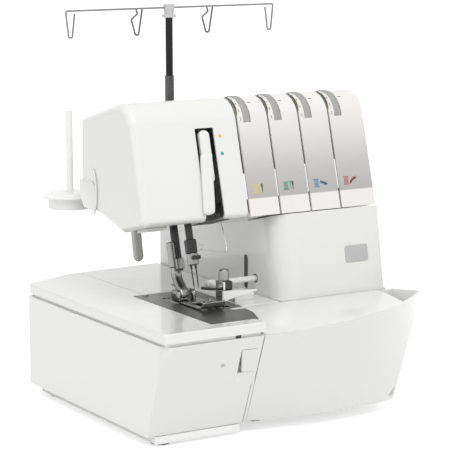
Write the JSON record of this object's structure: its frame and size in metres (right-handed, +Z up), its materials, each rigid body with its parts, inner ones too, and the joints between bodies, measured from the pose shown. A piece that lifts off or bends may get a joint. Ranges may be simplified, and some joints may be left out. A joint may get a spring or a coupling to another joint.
{
  "type": "overlock sewing machine",
  "caption": "Household overlock sewing machine with a slide-on table, thread tension dials, spool stand, telescopic thread guide, folding looper cover and waste bin.",
  "frame": {"origin": "on the ground plane below the middle of the machine's box", "axes": "+Z up, the user in front at -Y, handwheel side towards +X"},
  "size_m": [0.305, 0.3183, 0.3804],
  "materials": {
    "white_shell": "gloss",
    "white_trim": "satin",
    "tension_panel": "satin",
    "tension_dial": "satin",
    "cast_metal": "satin",
    "bright_steel": "polished",
    "worn_steel": "brushed",
    "dark_tube": "polished",
    "thread_wire": "satin",
    "grey_plastic": "satin",
    "black_plastic": "satin",
    "rubber": "matte",
    "motor_case": "satin",
    "lamp": "frosted"
  },
  "bodies": {
    "machine": {"base_tray": "white_trim", "rubber_feet": "rubber", "bed_cover": "white_shell", "needle_plate": "worn_steel", "base_frame": "cast_metal", "column_cover": "white_shell", "rear_cover": "white_shell", "head_cover": "white_shell", "arm_cover": "white_shell", "tension_panels": "tension_panel", "arm_frame": "cast_metal", "tension_shafts": "bright_steel", "tension_discs": "bright_steel", "lower_knife": "worn_steel", "chip_guard": "white_shell", "shaft_bearings": "worn_steel", "drive_belt": "rubber", "motor": "motor_case", "spool_stand": "white_trim", "spool_pins": "white_trim", "spool_discs": "white_trim", "mast_lower": "dark_tube", "power_inlet": "black_plastic", "sewing_light": "lamp", "fixing_screws": "bright_steel"},
    "slide_on_table": {"slide_on_table": "white_shell"},
    "tension_dial_1": {"tension_dial_1": "tension_dial"},
    "tension_dial_2": {"tension_dial_2": "tension_dial"},
    "tension_dial_3": {"tension_dial_3": "tension_dial"},
    "tension_dial_4": {"tension_dial_4": "tension_dial"},
    "take_up_lever": {"take_up_lever": "white_trim"},
    "needle_drive": {"needle_bar": "bright_steel", "needle_clamp": "worn_steel", "needles": "bright_steel", "clamp_screws": "bright_steel"},
    "presser": {"presser_bar": "bright_steel", "foot_ankle": "worn_steel", "presser_foot": "worn_steel"},
    "presser_lifter": {"presser_lifter": "grey_plastic"},
    "upper_knife": {"upper_knife_arm": "worn_steel", "upper_knife": "worn_steel", "knife_knob": "bright_steel"},
    "feed_dogs": {"feed_dogs": "worn_steel"},
    "lower_looper": {"lower_looper": "worn_steel"},
    "upper_looper": {"upper_looper": "worn_steel"},
    "handwheel": {"handwheel": "white_trim", "main_shaft": "bright_steel", "drive_pulley": "grey_plastic"},
    "motor_pulley": {"motor_pulley": "grey_plastic"},
    "hinge_rod": {"hinge_rod": "bright_steel"},
    "looper_cover": {"looper_cover": "white_shell"},
    "waste_bin": {"waste_bin": "white_shell"},
    "mast_upper": {"mast_upper": "dark_tube"},
    "thread_guide": {"mast_cap": "grey_plastic", "thread_bar": "thread_wire", "thread_hooks": "thread_wire"},
    "stitch_length_dial": {"stitch_length_dial": "white_trim"},
    "differential_dial": {"differential_dial": "white_trim"},
    "power_rocker": {"power_rocker": "black_plastic"}
  },
  "joints": [
    {"name": "table_slide", "type": "slide", "parent": "machine", "child": "slide_on_table", "axis": [-1, 0, 0], "range_m": [0, 0.11]},
    {"name": "tension_dial_1_turn", "type": "hinge", "parent": "machine", "child": "tension_dial_1", "pos_m": [-0.0075, -0.01844, 0.2744], "axis": [1, 0, 0], "range_deg": [-150, 150]},
    {"name": "tension_dial_2_turn", "type": "hinge", "parent": "machine", "child": "tension_dial_2", "pos_m": [0.0267, -0.01844, 0.2744], "axis": [1, 0, 0], "range_deg": [-150, 150]},
    {"name": "tension_dial_3_turn", "type": "hinge", "parent": "machine", "child": "tension_dial_3", "pos_m": [0.0609, -0.01844, 0.2744], "axis": [1, 0, 0], "range_deg": [-150, 150]},
    {"name": "tension_dial_4_turn", "type": "hinge", "parent": "machine", "child": "tension_dial_4", "pos_m": [0.0951, -0.01844, 0.2744], "axis": [1, 0, 0], "range_deg": [-150, 150]},
    {"name": "needle_stroke", "type": "slide", "parent": "machine", "child": "needle_drive", "axis": [0, -0.2588, -0.9659], "range_m": [0, 0.026]},
    {"name": "take_up_swing", "type": "hinge", "parent": "machine", "child": "take_up_lever", "pos_m": [-0.0525, -0.01468, 0.23819], "axis": [1, 0, 0], "range_deg": [0, 14]},
    {"name": "knife_swing", "type": "hinge", "parent": "machine", "child": "upper_knife", "pos_m": [-0.0325, -0.0344, 0.126], "axis": [1, 0, 0], "range_deg": [0, 7]},
    {"name": "lower_looper_swing", "type": "hinge", "parent": "machine", "child": "lower_looper", "pos_m": [-0.0675, -0.0524, 0.038], "axis": [0, 1, 0], "range_deg": [0, 9]},
    {"name": "upper_looper_swing", "type": "hinge", "parent": "machine", "child": "upper_looper", "pos_m": [-0.0515, -0.0524, 0.052], "axis": [0, 1, 0], "range_deg": [-8, 0]},
    {"name": "feed_slide", "type": "slide", "parent": "machine", "child": "feed_dogs", "axis": [0, 1, 0], "range_m": [-0.002, 0]},
    {"name": "presser_lift", "type": "slide", "parent": "machine", "child": "presser", "axis": [0, 0.2588, 0.9659], "range_m": [0, 0.005]},
    {"name": "lifter_swing", "type": "hinge", "parent": "machine", "child": "presser_lifter", "pos_m": [-0.0855, 0.03037, 0.20541], "axis": [1, 0, 0], "range_deg": [0, 30]},
    {"name": "handwheel_turn", "type": "hinge", "parent": "machine", "child": "handwheel", "pos_m": [0.0675, 0.0356, 0.062], "axis": [1, 0, 0], "continuous": true},
    {"name": "motor_turn", "type": "hinge", "parent": "machine", "child": "motor_pulley", "pos_m": [0.1075, 0.1106, 0.06], "axis": [1, 0, 0], "continuous": true},
    {"name": "cover_slide", "type": "slide", "parent": "machine", "child": "hinge_rod", "axis": [1, 0, 0], "range_m": [0, 0.008]},
    {"name": "cover_fold", "type": "hinge", "parent": "hinge_rod", "child": "looper_cover", "pos_m": [0.0275, -0.0914, 0.019], "axis": [1, 0, 0], "range_deg": [0, 18]},
    {"name": "bin_pull", "type": "slide", "parent": "looper_cover", "child": "waste_bin", "axis": [0, -1, 0], "range_m": [0, 0.05]},
    {"name": "mast_slide", "type": "slide", "parent": "machine", "child": "mast_upper", "axis": [0, 0, 1], "range_m": [-0.05, 0]},
    {"name": "guide_turn", "type": "hinge", "parent": "mast_upper", "child": "thread_guide", "pos_m": [0.0035, 0.1176, 0.37], "axis": [0, 0, 1], "range_deg": [-90, 90]},
    {"name": "stitch_length_turn", "type": "hinge", "parent": "machine", "child": "stitch_length_dial", "pos_m": [0.1345, 0.1056, 0.132], "axis": [1, 0, 0], "range_deg": [-135, 135]},
    {"name": "differential_turn", "type": "hinge", "parent": "machine", "child": "differential_dial", "pos_m": [0.1345, 0.1056, 0.096], "axis": [1, 0, 0], "range_deg": [-90, 90]},
    {"name": "power_rock", "type": "hinge", "parent": "machine", "child": "power_rocker", "pos_m": [0.1285, 0.1416, 0.038], "axis": [0, 1, 0], "range_deg": [-8, 8]}
  ],
  "couplings": [
    {"joint": "take_up_swing", "follows": "needle_stroke", "rad_per_m": 9.3978},
    {"joint": "knife_swing", "follows": "needle_stroke", "rad_per_m": 4.6989},
    {"joint": "lower_looper_swing", "follows": "needle_stroke", "rad_per_m": 6.0415},
    {"joint": "upper_looper_swing", "follows": "needle_stroke", "rad_per_m": -5.3702},
    {"joint": "feed_slide", "follows": "needle_stroke", "ratio": -0.07692},
    {"joint": "lifter_swing", "follows": "presser_lift", "rad_per_m": 104.72},
    {"joint": "motor_turn", "follows": "handwheel_turn", "ratio": 3.3333}
  ]
}
